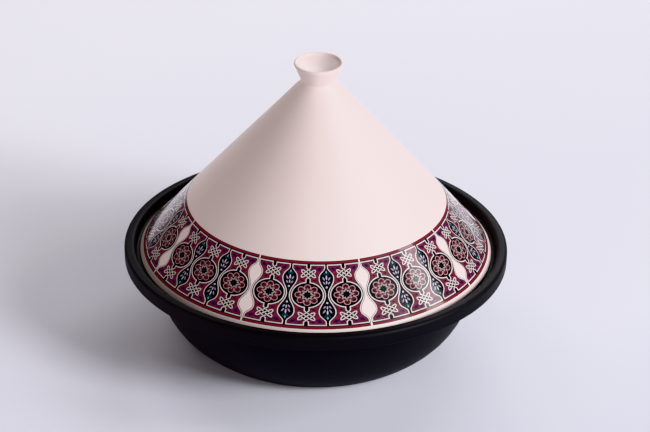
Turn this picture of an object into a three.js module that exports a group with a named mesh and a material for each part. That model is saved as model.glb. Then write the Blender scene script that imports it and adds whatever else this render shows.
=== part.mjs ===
// Tagine pot: a wide black earthenware cooking dish with a stepped rim, and a tall
// glazed conical lid with a cup-shaped knob that sits loose in the step.
// Units are millimetres, +Z is up, and the origin is the centre of the dish's foot.
import * as THREE from 'three';

// Driving dimensions.
const RIM_RADIUS = 160; // widest point of the whole pot
const RIM_WIDEST_HEIGHT = 78.4; // height at which the rim is widest
const LIP_HEIGHT = 82.5; // top of the dish
const FLANGE_BOTTOM = 69.5; // underside of the rim's vertical band
const FOOT_RADIUS = 101;
const SEAT_HEIGHT = 75; // step inside the rim that carries the lid
const SEAT_GAP = 0.3; // clearance under the lid's edge
const WALL = 8; // dish wall
const LID_EDGE_RADIUS = 146.5;
const LID_SLOPE = 1.175; // rise of the cone per unit of radius
const LID_WALL = 8.4; // lid wall, measured level
const NECK_RADIUS = 14.4;
const KNOB_RADIUS = 20.6;
const KNOB_TOP = 249;
const CUP_DEPTH = 7;

// Values that follow from them.
const LID_BOTTOM = SEAT_HEIGHT + SEAT_GAP;
const LID_EDGE_HEIGHT = LID_BOTTOM + 1.9; // top of the rounding at the lid's edge
const CONE_TOP_RADIUS = NECK_RADIUS + 2.8; // where the cone starts to run into the neck

const SEGMENTS = 64; // steps round each turned piece
const CURVE_STEPS = 4; // steps along each curved stretch of an outline

/** Height of the lid's outer face at a radius. */
function coneHeight(radius) {
  return LID_EDGE_HEIGHT + (LID_EDGE_RADIUS - radius) * LID_SLOPE;
}

/** Turns an outline of (radius, height) round the Z axis. */
function turned(name, outline, material) {
  const geometry = new THREE.LatheGeometry(outline.getPoints(CURVE_STEPS), SEGMENTS);
  geometry.rotateX(Math.PI / 2);
  const mesh = new THREE.Mesh(geometry, material);
  mesh.name = name;
  return mesh;
}

/** The dish, from the middle of its underside, round the rim, to the middle of its floor. */
function dishOutline() {
  const footRecess = 1.6;
  const footRingInner = FOOT_RADIUS - 11;
  const flangeRadius = RIM_RADIUS - 0.2;
  const bowlTopRadius = 134;
  const bowlTop = FLANGE_BOTTOM - 5;
  const stepRadius = RIM_RADIUS - 9.4;
  const lipInner = RIM_RADIUS - 8.7;
  const floor = WALL + 0.8;

  const path = new THREE.Path();
  path.moveTo(0, footRecess);
  path.lineTo(footRingInner - 1.6, footRecess);
  path.lineTo(footRingInner, 0);
  path.lineTo(FOOT_RADIUS - 2, 0);
  // Foot and bowl.
  path.lineTo(FOOT_RADIUS, 1);
  path.bezierCurveTo(FOOT_RADIUS + 13.5, 9.5, bowlTopRadius, 28, bowlTopRadius, bowlTop);
  // Hollow under the rim, then the rim's band and its rounded lip.
  path.quadraticCurveTo(bowlTopRadius + 0.4, FLANGE_BOTTOM, bowlTopRadius + 5, FLANGE_BOTTOM);
  path.lineTo(flangeRadius - 1.4, FLANGE_BOTTOM);
  path.quadraticCurveTo(flangeRadius, FLANGE_BOTTOM, flangeRadius, FLANGE_BOTTOM + 1.4);
  path.lineTo(RIM_RADIUS, RIM_WIDEST_HEIGHT);
  path.quadraticCurveTo(RIM_RADIUS, LIP_HEIGHT, RIM_RADIUS - 4, LIP_HEIGHT);
  path.lineTo(RIM_RADIUS - 6, LIP_HEIGHT);
  path.quadraticCurveTo(lipInner + 0.2, LIP_HEIGHT, lipInner, LIP_HEIGHT - 2.4);
  // Step for the lid.
  path.quadraticCurveTo(stepRadius, SEAT_HEIGHT, stepRadius - 2.2, SEAT_HEIGHT);
  path.lineTo(bowlTopRadius + 3, SEAT_HEIGHT);
  path.quadraticCurveTo(bowlTopRadius - WALL, SEAT_HEIGHT, bowlTopRadius - WALL, bowlTop);
  // Inside of the bowl.
  path.bezierCurveTo(bowlTopRadius - WALL, 32, FOOT_RADIUS + 8, floor, FOOT_RADIUS - 10, floor);
  path.lineTo(0, floor);
  return path;
}

/** The lid, from the top of its hollow, down inside, round its edge, up to the knob's cup. */
function lidOutline() {
  const hollowRadius = 13;
  const hollowShoulder = coneHeight(hollowRadius + LID_WALL);
  const hollowTop = hollowShoulder + 2;
  const innerEdgeRadius = LID_EDGE_RADIUS - LID_WALL;
  const kneeHeight = coneHeight(NECK_RADIUS);
  const lip = 1.6;

  const path = new THREE.Path();
  path.moveTo(0, hollowTop);
  path.quadraticCurveTo(hollowRadius - 3, hollowTop, hollowRadius, hollowShoulder);
  path.lineTo(innerEdgeRadius, LID_EDGE_HEIGHT);
  path.lineTo(innerEdgeRadius + 0.8, LID_BOTTOM);
  // Edge that stands in the step.
  path.lineTo(LID_EDGE_RADIUS - 2, LID_BOTTOM);
  path.quadraticCurveTo(LID_EDGE_RADIUS + 0.4, LID_BOTTOM, LID_EDGE_RADIUS, LID_EDGE_HEIGHT);
  // Cone, neck, and the straight flare of the knob with its rounded rim.
  path.lineTo(CONE_TOP_RADIUS, coneHeight(CONE_TOP_RADIUS));
  path.quadraticCurveTo(NECK_RADIUS, kneeHeight, NECK_RADIUS + 0.5, kneeHeight + 2);
  path.lineTo(KNOB_RADIUS - 0.1, KNOB_TOP - lip);
  path.quadraticCurveTo(KNOB_RADIUS + 0.2, KNOB_TOP, KNOB_RADIUS - lip, KNOB_TOP);
  // Cup in the knob's top.
  path.quadraticCurveTo(KNOB_RADIUS - 1.7 * lip, KNOB_TOP, KNOB_RADIUS - 2 * lip, KNOB_TOP - lip);
  path.quadraticCurveTo(KNOB_RADIUS / 2, KNOB_TOP - CUP_DEPTH, 0, KNOB_TOP - CUP_DEPTH);
  return path;
}

const blackClay = new THREE.MeshStandardMaterial({ color: 0x141318, roughness: 0.6, metalness: 0 });
const creamGlaze = new THREE.MeshStandardMaterial({ color: 0xefe2dd, roughness: 0.25, metalness: 0 });

const tagine = new THREE.Group();
tagine.add(turned('base_dish', dishOutline(), blackClay));
tagine.add(turned('lid', lidOutline(), creamGlaze));

export default tagine;
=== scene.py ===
"""Looks for the tagine pot: a matte black dish, and a cream glazed lid with a printed band.

Lengths are in metres, apart from the flat drawing of the printed panel, which is in millimetres."""

import bisect
import math

import bpy
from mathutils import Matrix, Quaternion, Vector, geometry


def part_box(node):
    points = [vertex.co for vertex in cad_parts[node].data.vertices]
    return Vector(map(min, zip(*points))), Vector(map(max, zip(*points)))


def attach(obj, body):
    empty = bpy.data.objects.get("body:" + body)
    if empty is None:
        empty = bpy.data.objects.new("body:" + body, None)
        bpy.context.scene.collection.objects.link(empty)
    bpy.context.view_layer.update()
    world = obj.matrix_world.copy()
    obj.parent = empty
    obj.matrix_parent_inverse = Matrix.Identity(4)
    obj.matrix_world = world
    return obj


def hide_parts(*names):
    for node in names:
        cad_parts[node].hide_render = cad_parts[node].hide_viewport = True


MM = 0.001

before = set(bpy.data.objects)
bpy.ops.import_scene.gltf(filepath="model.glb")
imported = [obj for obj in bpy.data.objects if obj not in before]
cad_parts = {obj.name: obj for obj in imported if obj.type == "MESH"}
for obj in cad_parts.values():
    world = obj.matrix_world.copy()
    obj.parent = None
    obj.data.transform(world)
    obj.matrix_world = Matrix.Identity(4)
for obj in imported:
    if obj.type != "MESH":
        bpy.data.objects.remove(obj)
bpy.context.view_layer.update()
_, dish_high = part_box("base_dish")
lid_low, lid_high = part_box("lid")

# ---------------------------------------------------------------- sizes, from the frame

RIM_RADIUS = dish_high[0]
LIP_HEIGHT = dish_high[2]
RIM_WIDEST_HEIGHT = LIP_HEIGHT - 4.1 * MM
FLANGE_BOTTOM = LIP_HEIGHT - 13 * MM
FOOT_RADIUS = RIM_RADIUS - 59 * MM
BOWL_TOP_RADIUS = RIM_RADIUS - 26 * MM
BOWL_TOP = FLANGE_BOTTOM - 5 * MM
SEAT_HEIGHT = lid_low[2] - 0.3 * MM
WALL = 8 * MM

LID_BOTTOM = lid_low[2]
LID_EDGE_RADIUS = 146.5 * MM
LID_EDGE_HEIGHT = LID_BOTTOM + 1.9 * MM
LID_SLOPE = 1.175
LID_WALL = 8.4 * MM
NECK_RADIUS = 14.4 * MM
CONE_TOP_RADIUS = NECK_RADIUS + 2.8 * MM
KNOB_RADIUS = 20.6 * MM
KNOB_TOP = lid_high[2]
CUP_DEPTH = 7 * MM

TURNED_STEPS = 288  # faces round each turned piece
CURVE_STEPS = 10  # points along each curved stretch of an outline


def cone_height(radius):
    """Height of the lid's outer face at a radius."""
    return LID_EDGE_HEIGHT + (LID_EDGE_RADIUS - radius) * LID_SLOPE


# ---------------------------------------------------------------- turned pieces


def bezier(points, t):
    """The point at t on a Bezier curve of any degree."""
    while len(points) > 1:
        points = [
            tuple(a + (b - a) * t for a, b in zip(p, q))
            for p, q in zip(points, points[1:])
        ]
    return points[0]


class Outline:
    """Half section of a turned piece: (radius, height) points, with lines and curves."""

    def __init__(self, radius, height):
        self.points = [(radius, height)]

    def line(self, radius, height, steps=1):
        start = self.points[-1]
        for i in range(1, steps + 1):
            self.points.append(bezier([start, (radius, height)], i / steps))

    def curve(self, *controls):
        start = self.points[-1]
        for i in range(1, CURVE_STEPS + 1):
            self.points.append(bezier([start, *controls], i / CURVE_STEPS))


def turned(name, outline):
    """A smooth mesh made by turning an outline that starts and ends on the Z axis."""
    rings = outline.points[1:-1]
    verts = [(0, 0, outline.points[0][1])]
    for radius, height in rings:
        for i in range(TURNED_STEPS):
            angle = 2 * math.pi * i / TURNED_STEPS
            verts.append((radius * math.cos(angle), radius * math.sin(angle), height))
    verts.append((0, 0, outline.points[-1][1]))
    last = len(verts) - 1

    faces = []
    for i in range(TURNED_STEPS):
        j = (i + 1) % TURNED_STEPS
        faces.append((0, 1 + j, 1 + i))
        for ring in range(len(rings) - 1):
            low = 1 + ring * TURNED_STEPS
            high = low + TURNED_STEPS
            faces.append((low + i, low + j, high + j, high + i))
        top = last - TURNED_STEPS
        faces.append((top + i, top + j, last))

    mesh = bpy.data.meshes.new(name)
    mesh.from_pydata(verts, [], faces)
    mesh.shade_smooth()
    mesh.set_sharp_from_angle(angle=math.radians(50))
    piece = bpy.data.objects.new(name, mesh)
    bpy.context.scene.collection.objects.link(piece)
    return piece


def dish_outline():
    """The dish, from the middle of its underside, round the rim, to the middle of its floor."""
    foot_recess = 1.6 * MM
    foot_ring_inner = FOOT_RADIUS - 11 * MM
    flange_radius = RIM_RADIUS - 0.2 * MM
    step_radius = RIM_RADIUS - 9.4 * MM
    lip_inner = RIM_RADIUS - 8.7 * MM
    inner_radius = BOWL_TOP_RADIUS - WALL
    floor = WALL + 0.8 * MM

    outline = Outline(0, foot_recess)
    outline.line(foot_ring_inner - 2.4 * MM, foot_recess)
    outline.curve(
        (foot_ring_inner - 1 * MM, foot_recess),
        (foot_ring_inner, 0.2 * MM),
        (foot_ring_inner + 1 * MM, 0),
    )
    outline.line(FOOT_RADIUS - 2 * MM, 0)
    outline.curve((FOOT_RADIUS - 0.6 * MM, 0), (FOOT_RADIUS, 1 * MM))
    # Swelling side of the bowl.
    outline.curve(
        (FOOT_RADIUS + 13.5 * MM, 9.5 * MM),
        (BOWL_TOP_RADIUS, 28 * MM),
        (BOWL_TOP_RADIUS, BOWL_TOP),
    )
    # Hollow under the rim, then the rim's band and its rounded lip.
    outline.curve(
        (BOWL_TOP_RADIUS + 0.4 * MM, FLANGE_BOTTOM),
        (BOWL_TOP_RADIUS + 5 * MM, FLANGE_BOTTOM),
    )
    outline.line(flange_radius - 1.4 * MM, FLANGE_BOTTOM)
    outline.curve((flange_radius, FLANGE_BOTTOM), (flange_radius, FLANGE_BOTTOM + 1.4 * MM))
    outline.line(RIM_RADIUS, RIM_WIDEST_HEIGHT)
    outline.curve((RIM_RADIUS, LIP_HEIGHT), (RIM_RADIUS - 4 * MM, LIP_HEIGHT))
    outline.line(RIM_RADIUS - 6 * MM, LIP_HEIGHT)
    outline.curve((lip_inner + 0.2 * MM, LIP_HEIGHT), (lip_inner, LIP_HEIGHT - 2.4 * MM))
    # Step for the lid.
    outline.curve((step_radius, SEAT_HEIGHT), (step_radius - 2.2 * MM, SEAT_HEIGHT))
    outline.line(BOWL_TOP_RADIUS + 3 * MM, SEAT_HEIGHT)
    outline.curve((inner_radius, SEAT_HEIGHT), (inner_radius, BOWL_TOP))
    # Inside of the bowl.
    outline.curve(
        (inner_radius, 32 * MM),
        (FOOT_RADIUS + 8 * MM, floor),
        (FOOT_RADIUS - 10 * MM, floor),
    )
    outline.line(0, floor)
    return outline


def lid_outline():
    """The lid, from the top of its hollow, down inside, round its edge, up to the knob's cup."""
    hollow_radius = 13 * MM
    hollow_shoulder = cone_height(hollow_radius + LID_WALL)
    hollow_top = hollow_shoulder + 2 * MM
    inner_edge_radius = LID_EDGE_RADIUS - LID_WALL
    knee_height = cone_height(NECK_RADIUS)
    lip = 1.6 * MM

    outline = Outline(0, hollow_top)
    outline.curve((hollow_radius - 3 * MM, hollow_top), (hollow_radius, hollow_shoulder))
    outline.line(inner_edge_radius, LID_EDGE_HEIGHT, steps=24)
    outline.line(inner_edge_radius + 0.8 * MM, LID_BOTTOM)
    # Edge that stands in the step.
    outline.line(LID_EDGE_RADIUS - 2 * MM, LID_BOTTOM)
    outline.curve((LID_EDGE_RADIUS + 0.4 * MM, LID_BOTTOM), (LID_EDGE_RADIUS, LID_EDGE_HEIGHT))
    # Cone, neck, and the straight flare of the knob with its rounded rim.
    outline.line(CONE_TOP_RADIUS, cone_height(CONE_TOP_RADIUS), steps=24)
    outline.curve((NECK_RADIUS, knee_height), (NECK_RADIUS + 0.5 * MM, knee_height + 2 * MM))
    outline.line(KNOB_RADIUS - 0.1 * MM, KNOB_TOP - lip, steps=6)
    outline.curve((KNOB_RADIUS + 0.2 * MM, KNOB_TOP), (KNOB_RADIUS - lip, KNOB_TOP))
    # Cup in the knob's top.
    outline.curve((KNOB_RADIUS - 1.7 * lip, KNOB_TOP), (KNOB_RADIUS - 2 * lip, KNOB_TOP - lip))
    outline.curve((KNOB_RADIUS / 2, KNOB_TOP - CUP_DEPTH), (0, KNOB_TOP - CUP_DEPTH))
    return outline


# ---------------------------------------------------------------- the printed band, drawn flat

PANEL_COLUMNS = (3, 3, 3, 3, 2, 2, 3, 3, 3)  # medallions in each transfer, round from the front
BAND_TURN = math.radians(-2.8)  # middle of the front transfer, turned from the front of the pot
BAND_TOP_RADIUS = 107.7 * MM
BAND_BOTTOM_RADIUS = 143.9 * MM
MIDDLE_RADIUS = (BAND_TOP_RADIUS + BAND_BOTTOM_RADIUS) / 2
LEAN = math.hypot(1, LID_SLOPE)  # slant length per unit of radius
FILM = 0.06 * MM  # how far the print stands off the glaze

# The flat drawing is in millimetres: x runs round the lid, and y up the slant from mid height.
TALL = (BAND_BOTTOM_RADIUS - BAND_TOP_RADIUS) * LEAN / MM
HALF = TALL / 2
COLUMN = 2 * math.pi * MIDDLE_RADIUS / MM / sum(PANEL_COLUMNS)
LINE = 0.87  # width of the cream lines
KNOT_LINE = 0.84  # the same in a knot
CASING = 0.34  # dark edge on each side of a cream line
BORDER = 2.4  # width of the red bands at top and bottom
FRAME_Y = HALF - BORDER - 0.9  # middle of the cream frame line
WAIST = 0.72  # least and greatest half widths of the waisted dark panels
BELLY = 5.8
BELLY_Y = 13.5  # height of the greatest half width
TIP = 8.7  # from there to where the panel is narrow again
RING = (12.9, 10.35)  # half sizes of the ring round a medallion
KNOT_Y = 17.5
KNOT_MESH = (2.24, 1.55)  # from one crossing to the next, across and up
STUB = 1.8  # half the space between the two lines that enter a knot
PETALS = 8
PETAL_RING = (7.5, 6.3)  # half sizes of the ring of petal middles
CUTS_PER_COLUMN = 24  # upright cuts that keep the flat triangles close to the round lid

# Linear colours of the fired inks.
INKS = {
    "black": (0.005, 0.004, 0.007),
    "night": (0.0066, 0.0050, 0.0066),
    "cream": (0.76, 0.66, 0.63),
    "pale": (0.62, 0.49, 0.47),
    "pink": (0.60, 0.42, 0.43),
    "crimson": (0.225, 0.031, 0.043),
    "red": (0.135, 0.028, 0.035),
    "ground": (0.155, 0.03, 0.043),
    "maroon": (0.035, 0.003, 0.007),
    "magenta": (0.25, 0.028, 0.08),
    "plum": (0.05, 0.012, 0.07),
    "navy": (0.009, 0.014, 0.05),
    "slate": (0.018, 0.034, 0.052),
    "teal": (0.014, 0.06, 0.072),
    "sky": (0.24, 0.40, 0.44),
    "violet": (0.045, 0.028, 0.06),
    "lilac": (0.40, 0.36, 0.46),
    "pearl": (0.66, 0.58, 0.68),
}


def waist(y):
    """Half width of a waisted dark panel at a height."""
    d = abs(y)
    if d < BELLY_Y:
        swell = math.sin(math.pi / 2 * (d / BELLY_Y) ** 1.1) ** 2
    else:
        swell = math.cos(math.pi / 2 * min(1, (d - BELLY_Y) / TIP) ** 1.42) ** 2
    return WAIST + (BELLY - WAIST) * swell


def spread(low, high, count):
    """Evenly spaced numbers from low to high, both included."""
    return [low + (high - low) * i / (count - 1) for i in range(count)]


def oval(x, y, half_x, half_y, count=24):
    turns = [2 * math.pi * i / count for i in range(count)]
    return [(x + half_x * math.cos(a), y + half_y * math.sin(a)) for a in turns]


def diamond(x, y, half_x, half_y):
    return [(x + half_x, y), (x, y + half_y), (x - half_x, y), (x, y - half_y)]


def block(left, right, low, high):
    return [(left, low), (right, low), (right, high), (left, high)]


def leaf(x, y, length, width, angle):
    """A pointed leaf about (x, y), whose length lies at an angle in degrees."""
    turn = math.radians(angle)
    outline = []
    for side in (1, -1):
        for t in spread(-side, side, 7)[:-1]:
            along, across = t * length / 2, side * (1 - t * t) * width / 2
            outline.append((
                x + along * math.cos(turn) - across * math.sin(turn),
                y + along * math.sin(turn) + across * math.cos(turn),
            ))
    return outline


def star(long_x, long_y, short_x, short_y, notch):
    """An eight-pointed star about the middle: long points level and upright, short ones between."""
    outline = []
    for i in range(16):
        angle = math.pi * i / 8
        half_x, half_y = (long_x, long_y) if i % 4 == 0 else (short_x, short_y)
        reach = notch if i % 2 else 1
        outline.append((half_x * reach * math.cos(angle), half_y * reach * math.sin(angle)))
    return outline


def stroke(path, width):
    """The outline of a line of a given width along an open path."""
    left, right = [], []
    points = [Vector(p) for p in path]
    runs = [(b - a).normalized() for a, b in zip(points, points[1:])]
    for point, before, after in zip(points, runs[:1] + runs, runs + runs[-1:]):
        along = (before + after).normalized()
        across = Vector((-along.y, along.x)) * (width / 2 / max(0.5, along.dot(before)))
        left.append(tuple(point + across))
        right.append(tuple(point - across))
    return left + right[::-1]


def mirror(points):
    """The points flipped left to right, in reverse order."""
    return [(-x, y) for x, y in points][::-1]


def upend(points):
    """The points flipped top to bottom, in reverse order."""
    return [(x, -y) for x, y in points][::-1]


def shift(points, x, y=0):
    return [(px + x, py + y) for px, py in points]


def both_sides(shapes):
    """The shapes, each followed by its mirror image."""
    return [(ink, points) for ink, half in shapes for points in (half, mirror(half))]


def both_ends(shapes):
    """The shapes, then all of them again upside down."""
    return shapes + [(ink, upend(points)) for ink, points in shapes]


def cased(path, width=LINE):
    """A cream line with a dark edge."""
    return [("black", stroke(path, width + 2 * CASING)), ("cream", stroke(path, width))]


def knot():
    """A four-looped knot about the middle: one strand and its mirror image, woven together."""

    def spot(i, j):
        return (i * KNOT_MESH[0], j * KNOT_MESH[1])

    loop_controls = [spot(2, 0), spot(3.2, -1.2), spot(3.2, -3.2), spot(1, -1)]
    loop = [bezier(loop_controls, t) for t in spread(0, 1, 15)]
    entry = [(-STUB, 2 * KNOT_MESH[1] + 2.6), (-STUB, 2 * KNOT_MESH[1] + 1.5)]
    # Each stretch holds one crossing, so the strand passes over and under by turns.
    half = [
        [*entry, spot(0, 2), spot(0.5, 1.5)],
        [spot(0.5, 1.5), spot(1.5, 0.5)],
        [spot(1.5, 0.5), *loop[:8]],
        [*loop[7:], spot(0.5, -0.5)],
    ]
    middle = [spot(0.5, -0.5), spot(-0.5, 0.5)]
    strand = half + [middle] + [mirror(upend(stretch))[::-1] for stretch in half[::-1]]
    twin = [mirror(stretch) for stretch in strand]
    shapes = [("black", oval(0, 0, 2 * KNOT_MESH[0], 1.6 * KNOT_MESH[1]))]
    for stretch in strand[1::2] + twin[0::2] + strand[0::2] + twin[1::2]:
        shapes += cased(stretch, KNOT_LINE)
    return shapes


def medallion():
    """A plain rosette in a ring: eight round petals about an eight-pointed star."""
    reach = LINE / 2
    shapes = [
        ("black", oval(0, 0, RING[0] + reach + CASING, RING[1] + reach + CASING, 56)),
        ("cream", oval(0, 0, RING[0] + reach, RING[1] + reach, 56)),
        ("black", oval(0, 0, RING[0] - reach, RING[1] - reach, 56)),
    ]
    for x, y in oval(0, 0, *PETAL_RING, PETALS):
        shapes += [
            ("pink", oval(x, y, 2.85, 2.4)),
            ("red", oval(x, y, 2.4, 1.95)),
            ("maroon", oval(1.1 * x, 1.1 * y, 1.1, 0.9, 12)),
        ]
    shapes += [
        ("maroon", oval(0, 0, 5.6, 4.8)),
        ("pale", star(6.6, 5.7, 5.9, 5.1, 0.66)),
        ("maroon", star(5.9, 5.1, 5.2, 4.5, 0.66)),
        ("pale", star(5.1, 4.4, 4.5, 3.9, 0.7)),
        ("black", star(4.5, 3.9, 3.9, 3.4, 0.66)),
        ("violet", oval(0, 0, 0.5, 0.45, 10)),
    ]
    return shapes


def column_ground():
    """The red ground of a column about x = 0, with leaves in its corners."""
    edge = [(COLUMN / 2 - waist(y) - LINE / 2 - 0.1, y) for y in spread(-FRAME_Y, FRAME_Y, 57)]
    leaves = [
        ("plum", leaf(9.6, 21.3, 4.6, 2.6, 20)),
        ("navy", leaf(10.2, 21.6, 2.6, 1.3, 20)),
        ("magenta", leaf(8.9, 18.3, 3.0, 1.7, -50)),
        ("plum", leaf(5.0, 22.3, 3.4, 1.5, 0)),
        ("crimson", leaf(7.6, 14.2, 3.2, 1.5, 65)),
        ("maroon", leaf(5.2, 12.0, 3.0, 1.3, 15)),
        ("crimson", leaf(3.6, 12.6, 1.6, 0.8, 70)),
    ]
    shapes = [("ground", edge + mirror(edge))] + both_ends(both_sides(leaves))
    tab = [(STUB, FRAME_Y), (STUB, KNOT_Y + 2 * KNOT_MESH[1] + 2.5)]
    line = [*upend(tab), *edge, *tab]
    for side in (line, mirror(line)):
        shapes += cased(side)
    return shapes


def column():
    """One medallion between two knots, painted in order."""
    inner = STUB - LINE / 2
    ring_top = RING[1] + 0.2
    knot_foot = KNOT_Y - 2 * KNOT_MESH[1]
    knot_head = KNOT_Y + 2 * KNOT_MESH[1]
    link = [("black", block(-inner, inner, knot_head + 0.6, HALF - BORDER))]
    link += [(ink, shift(points, 0, KNOT_Y)) for ink, points in knot()]
    for side in (-1, 1):
        link += cased([(side * STUB, knot_foot - 2.4), (side * STUB, ring_top)])
    bar = [(inner, ring_top - 1.2), (inner, knot_foot - 1.7), (0, knot_foot - 0.5)]
    shapes = column_ground() + medallion()
    return shapes + both_ends(link + [("black", bar + mirror(bar))])


def waisted_panel():
    """The ornament of a waisted dark panel about x = 0: in each half a plain sprig of leaves."""
    pairs = [
        ("teal", leaf(1.6, 17.3, 3.2, 1.2, 62)),
        ("lilac", leaf(2.4, 13.4, 3.8, 1.3, 55)),
        ("lilac", leaf(2.1, 9.9, 3.2, 1.2, 50)),
        ("slate", leaf(1.5, 7.2, 2.2, 0.7, 50)),
    ]
    shapes = both_sides(pairs) + [
        ("sky", diamond(0, 18.8, 0.9, 1.5)),
        ("pearl", leaf(0, 14.4, 4.2, 1.3, 90)),
        ("pearl", leaf(0, 10.4, 3.0, 1.1, 90)),
        ("pearl", oval(0, 6.4, 0.85, 0.85, 12)),
        ("teal", diamond(0, 4.1, 0.45, 0.7)),
    ]
    return both_ends(shapes)


def panel(columns):
    """Every printed shape of a transfer, as (ink, outline), in the order it is painted."""
    end = columns * COLUMN / 2
    right = [(end - waist(y), y) for y in spread(-HALF, HALF, 65)]
    end_x = end - WAIST - CASING
    shapes = [("black", right + mirror(right))]
    shapes += both_ends([
        ("red", block(-end_x, end_x, HALF - BORDER + 0.1, HALF - 0.1)),
        ("crimson", block(-end_x, end_x, HALF - BORDER + 0.7, HALF - 0.7)),
    ])
    for i in range(columns):
        x = (i - (columns - 1) / 2) * COLUMN
        shapes += [(ink, shift(points, x)) for ink, points in column()]
    for i in range(1, columns):
        x = (i - columns / 2) * COLUMN
        edge = [(waist(y) + 0.1, y) for y in spread(-FRAME_Y, FRAME_Y, 57)]
        shapes.append(("night", shift(edge + mirror(edge), x)))
        shapes += [(ink, shift(points, x)) for ink, points in waisted_panel()]
    return shapes


def on_cone(x, y, turn):
    """A point of the flat drawing, laid on the lid's cone."""
    radius = MIDDLE_RADIUS - y * MM / LEAN
    height = cone_height(radius) + FILM / LEAN
    radius += FILM * LID_SLOPE / LEAN
    angle = x * MM / MIDDLE_RADIUS + turn - math.pi / 2
    return (radius * math.cos(angle), radius * math.sin(angle), height)


def winding(outline, x, y):
    """How many times an outline goes round a point."""
    turns = 0
    for (x0, y0), (x1, y1) in zip(outline, outline[1:] + outline[:1]):
        side = (x1 - x0) * (y - y0) - (x - x0) * (y1 - y0)
        if y0 <= y < y1 and side > 0:
            turns += 1
        elif y1 <= y < y0 and side < 0:
            turns -= 1
    return turns


def flat_panel(columns):
    """A transfer cut into triangles that each hold one ink: points, triangles and inks."""
    shapes = panel(columns)
    points, edges = [], []
    for _, outline in shapes:
        first, count = len(points), len(outline)
        points += [Vector(p) for p in outline]
        edges += [(first + i, first + (i + 1) % count) for i in range(count)]
    end = columns * COLUMN / 2
    for x in spread(-end + 1, end - 1, CUTS_PER_COLUMN * columns):
        edges.append((len(points), len(points) + 1))
        points += [Vector((x, -HALF)), Vector((x, HALF))]
    merge_distance = 1e-5
    verts, _, faces, *_ = geometry.delaunay_2d_cdt(points, edges, [], 0, merge_distance)

    # Each triangle takes the ink painted last over its middle, and one with no ink is left out.
    middles = []
    for k, face in enumerate(faces):
        x, y = sum((verts[i] for i in face), Vector((0, 0))) / 3
        middles.append((x, y, k))
    middles.sort()
    inks = {}
    for ink, outline in reversed(shapes):
        across, up = zip(*outline)
        first = bisect.bisect(middles, (min(across),))
        last = bisect.bisect(middles, (max(across),))
        for x, y, k in middles[first:last]:
            if k not in inks and min(up) < y < max(up) and winding(outline, x, y):
                inks[k] = ink
    return verts, [faces[k] for k in inks], list(inks.values())


def transfer(name, flat, turn, material):
    """One transfer on the lid: a thin film with an ink for every face."""
    verts, faces, inks = flat
    mesh = bpy.data.meshes.new(name)
    mesh.from_pydata([on_cone(v.x, v.y, turn) for v in verts], [], faces)
    mesh.shade_smooth()
    colour = mesh.color_attributes.new("ink", "FLOAT_COLOR", "CORNER")
    mottle = mesh.attributes.new("mottle", "FLOAT", "FACE")
    for polygon, ink in zip(mesh.polygons, inks):
        mottle.data[polygon.index].value = 1.0 if ink == "ground" else 0.0
        for loop in polygon.loop_indices:
            colour.data[loop].color = (*INKS[ink], 1)
    mesh.materials.append(material)
    piece = bpy.data.objects.new(name, mesh)
    bpy.context.scene.collection.objects.link(piece)
    return piece


def printed_band(material):
    """The transfers side by side round the lid, the first one about BAND_TURN."""
    flats = {columns: flat_panel(columns) for columns in set(PANEL_COLUMNS)}
    turn = BAND_TURN
    pieces = []
    for i, columns in enumerate(PANEL_COLUMNS):
        half = math.pi * columns / sum(PANEL_COLUMNS)
        turn += half if i else 0
        pieces.append(transfer(f"lid_transfer_{i + 1}", flats[columns], turn, material))
        turn += half
    return pieces


# ---------------------------------------------------------------- materials


class Material:
    """A Principled material and the nodes that feed it."""

    def __init__(self, name, **sockets):
        self.data = bpy.data.materials.new(name)
        self.data.use_nodes = True
        self.tree = self.data.node_tree
        self.shader = self.tree.nodes["Principled BSDF"]
        for socket, value in sockets.items():
            self.shader.inputs[socket.replace("_", " ")].default_value = value

    def node(self, kind, inputs=(), **settings):
        """A node with settings, whose inputs hold numbers or other nodes' outputs."""
        node = self.tree.nodes.new("ShaderNode" + kind)
        for key, value in settings.items():
            setattr(node, key, value)
        for key, value in dict(inputs).items():
            if isinstance(value, bpy.types.NodeSocket):
                self.tree.links.new(value, node.inputs[key])
            else:
                node.inputs[key].default_value = value
        return node

    def coordinates(self):
        return self.node("TexCoord").outputs["Object"]

    def noise(self, scale, detail=3.0, roughness=0.5, vector=None):
        """Noise whose grain is 1 / scale metres."""
        inputs = {"Scale": scale, "Detail": detail, "Roughness": roughness}
        inputs["Vector"] = vector or self.coordinates()
        return self.node("TexNoise", inputs).outputs["Fac"]

    def ramp(self, factor, *stops):
        """A colour ramp over (position, colour) stops."""
        node = self.node("ValToRGB", {"Fac": factor})
        elements = node.color_ramp.elements
        while len(elements) < len(stops):
            elements.new(0.5)
        for element, (position, colour) in zip(elements, stops):
            element.position = position
            element.color = (*colour, 1)
        return node.outputs["Color"]

    def span(self, factor, low, high):
        """The factor from 0 to 1 stretched over low to high."""
        inputs = {"Value": factor, "To Min": low, "To Max": high}
        return self.node("MapRange", inputs).outputs["Result"]

    def bump(self, height, distance, strength=1.0, under=None):
        inputs = {"Height": height, "Distance": distance, "Strength": strength}
        if under is not None:
            inputs["Normal"] = under
        return self.node("Bump", inputs).outputs["Normal"]

    def mix(self, a, b, factor=1.0, blend="MULTIPLY"):
        """Colour b blended with colour a."""
        inputs = {"Factor": factor, "A": a, "B": b}
        node = self.node("Mix", inputs, data_type="RGBA", blend_type=blend)
        return node.outputs["Result"]

    def feed(self, **links):
        for socket, output in links.items():
            self.tree.links.new(output, self.shader.inputs[socket.replace("_", " ")])


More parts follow.
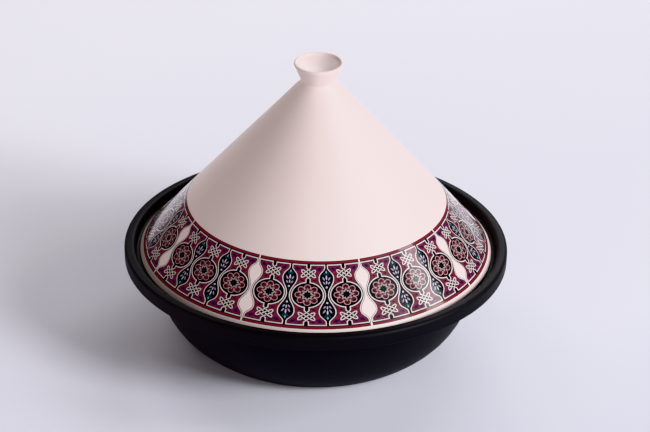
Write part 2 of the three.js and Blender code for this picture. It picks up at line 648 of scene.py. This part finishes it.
def black_clay():
    """Matte black glaze: nearly even, with faint turning rings and a dry fine grain."""
    m = Material("black_clay", Specular_IOR_Level=0.22)
    grain = m.noise(900, 4, 0.6)
    cloud = m.noise(22, 3)
    place = m.node("SeparateXYZ", {"Vector": m.coordinates()}).outputs
    level = m.node("CombineXYZ", {"X": place["X"], "Y": place["Y"]}).outputs[0]
    radius = m.node("VectorMath", {0: level}, operation="LENGTH").outputs["Value"]
    rings = m.node("CombineXYZ", {"X": radius, "Y": place["Z"]}).outputs[0]
    turning = m.noise(260, 2, 0.5, rings)
    m.feed(
        Base_Color=m.ramp(cloud, (0.3, (0.0072, 0.0066, 0.0072)), (0.7, (0.0094, 0.0087, 0.0095))),
        Roughness=m.span(cloud, 0.50, 0.58),
        Normal=m.bump(turning, 0.05 * MM, 0.5, m.bump(grain, 0.05 * MM, 0.6)),
    )
    return m.data


def cream_glaze():
    """Satin-gloss cream glaze, a little uneven in tone and in its surface."""
    m = Material("cream_glaze", Specular_IOR_Level=0.5, Coat_Weight=0.3, Coat_Roughness=0.35)
    cloud = m.noise(14, 4, 0.55)
    speck = m.noise(1400, 2, 0.5)
    tone = m.ramp(cloud, (0.25, (0.83, 0.685, 0.65)), (0.75, (0.86, 0.715, 0.68)))
    fleck = m.ramp(speck, (0.2, (0.93, 0.91, 0.89)), (0.34, (1, 1, 1)))
    m.feed(
        Base_Color=m.mix(tone, fleck),
        Roughness=m.span(cloud, 0.48, 0.56),
        Normal=m.bump(m.noise(45, 2), 0.12 * MM, 0.6),
    )
    return m.data


def transfer_print():
    """Fired transfer: each ink a little uneven, and the red ground mottled towards purple."""
    m = Material("transfer_print", Specular_IOR_Level=0.12, Coat_Weight=0.85, Coat_Roughness=0.09)
    ink = m.node("Attribute", attribute_name="ink").outputs["Color"]
    mottle = m.node("Attribute", attribute_name="mottle").outputs["Fac"]
    ground = m.ramp(
        m.noise(420, 4, 0.7),
        (0.32, (0.055, 0.03, 0.066)),
        (0.44, (0.125, 0.031, 0.053)),
        (0.56, (0.2, 0.035, 0.052)),
        (0.7, (0.25, 0.048, 0.095)),
    )
    base = m.mix(ink, ground, mottle, "MIX")
    wear = m.ramp(m.noise(1500, 2), (0.3, (0.86, 0.86, 0.86)), (0.6, (1, 1, 1)))
    m.feed(Base_Color=m.mix(base, wear), Roughness=m.span(m.noise(60), 0.26, 0.36))
    return m.data


def floor_paper():
    """Pale studio paper with painted light: its colour is lighter towards the back and the left,
    and darker towards the front right, standing in for the lamps' falloff.
    """
    m = Material("floor_paper", Specular_IOR_Level=0.1, Roughness=0.9)
    towards_light = {0: m.coordinates(), 1: (-0.7, 1, 0)}
    place = m.node("VectorMath", towards_light, operation="DOT_PRODUCT").outputs["Value"]
    reach = {"Value": place, "From Min": -0.42, "From Max": 0.65}
    painted_light_factor = m.node("MapRange", reach).outputs["Result"]
    # Painted light: the paper's colour darkens towards the front right and lightens towards the
    # back left.
    painted_falloff = m.ramp(
        painted_light_factor,
        (0.0, (0.62, 0.605, 0.68)),
        (0.25, (0.82, 0.805, 0.885)),
        (0.5, (0.82, 0.805, 0.885)),
        (1.0, (0.93, 0.915, 0.98)),
    )
    fibre = m.ramp(m.noise(600, 3), (0.3, (0.985, 0.985, 0.985)), (0.7, (1, 1, 1)))
    m.feed(Base_Color=m.mix(painted_falloff, fibre))
    return m.data


# ---------------------------------------------------------------- the pot

dish = turned("dish_body", dish_outline())
dish.data.materials.append(black_clay())
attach(dish, "dish")
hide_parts("base_dish")

lid = turned("lid_body", lid_outline())
lid.data.materials.append(cream_glaze())
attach(lid, "lid")
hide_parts("lid")

for film in printed_band(transfer_print()):
    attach(film, "lid")

# ---------------------------------------------------------------- floor, lights and camera


def disc(name, radius, steps=96):
    rim = [(x, y, 0) for x, y in oval(0, 0, radius, radius, steps)]
    mesh = bpy.data.meshes.new(name)
    mesh.from_pydata(rim, [], [range(steps)])
    piece = bpy.data.objects.new(name, mesh)
    bpy.context.scene.collection.objects.link(piece)
    return piece


def aimed(thing, place, target):
    thing.location = place
    thing.rotation_mode = "QUATERNION"
    thing.rotation_quaternion = (Vector(target) - Vector(place)).to_track_quat("-Z", "Y")


def softbox(name, place, size, power, colour):
    light = bpy.data.lights.new(name, "AREA")
    light.shape = "RECTANGLE"
    light.size, light.size_y = size
    light.energy = power
    light.color = colour
    box = bpy.data.objects.new(name, light)
    bpy.context.scene.collection.objects.link(box)
    aimed(box, place, (0, 0, 0.1))


FLOOR_RADIUS = 8

floor = disc("floor", FLOOR_RADIUS)
floor.data.materials.append(floor_paper())

softbox("key", (1.36, -1.0, 0.95), (0.7, 0.7), 37, (0.93, 0.955, 1))
softbox("sheen", (1.55, -0.1, 1.08), (0.35, 0.65), 4.8, (1, 0.98, 1))
softbox("back", (0.6, 1.65, 1.25), (1.4, 1.0), 20, (0.97, 0.97, 1))
softbox("rim", (-0.9, 1.25, 1.3), (0.9, 0.9), 10, (1, 0.97, 0.97))
softbox("left", (-1.75, -0.62, 0.3), (0.9, 0.5), 7, (1, 0.93, 0.91))
softbox("front", (0.3, -2.1, 0.85), (1.4, 0.8), 7.5, (1, 0.97, 0.96))

world = bpy.data.worlds.new("studio")
world.use_nodes = True
background = world.node_tree.nodes["Background"]
background.inputs["Color"].default_value = (1, 0.96, 0.95, 1)
background.inputs["Strength"].default_value = 0.08
bpy.context.scene.world = world
bpy.context.scene.view_settings.view_transform = "Khronos PBR Neutral"

VIEW_ELEVATION = math.radians(28.61)
VIEW_DISTANCE = 3.178
VIEW_LEVEL = 0.0808  # height that the distance is measured from
VIEW_AIM = (0.0072, 0, 0.1066)
VIEW_ROLL = math.radians(1.04)
LENS = 210.5

camera_data = bpy.data.cameras.new("camera")
camera_data.lens = LENS
camera = bpy.data.objects.new("camera", camera_data)
bpy.context.scene.collection.objects.link(camera)
place = (
    0,
    -VIEW_DISTANCE * math.cos(VIEW_ELEVATION),
    VIEW_LEVEL + VIEW_DISTANCE * math.sin(VIEW_ELEVATION),
)
aimed(camera, place, VIEW_AIM)
camera.rotation_quaternion = camera.rotation_quaternion @ Quaternion((0, 0, 1), VIEW_ROLL)
bpy.context.scene.camera = camera
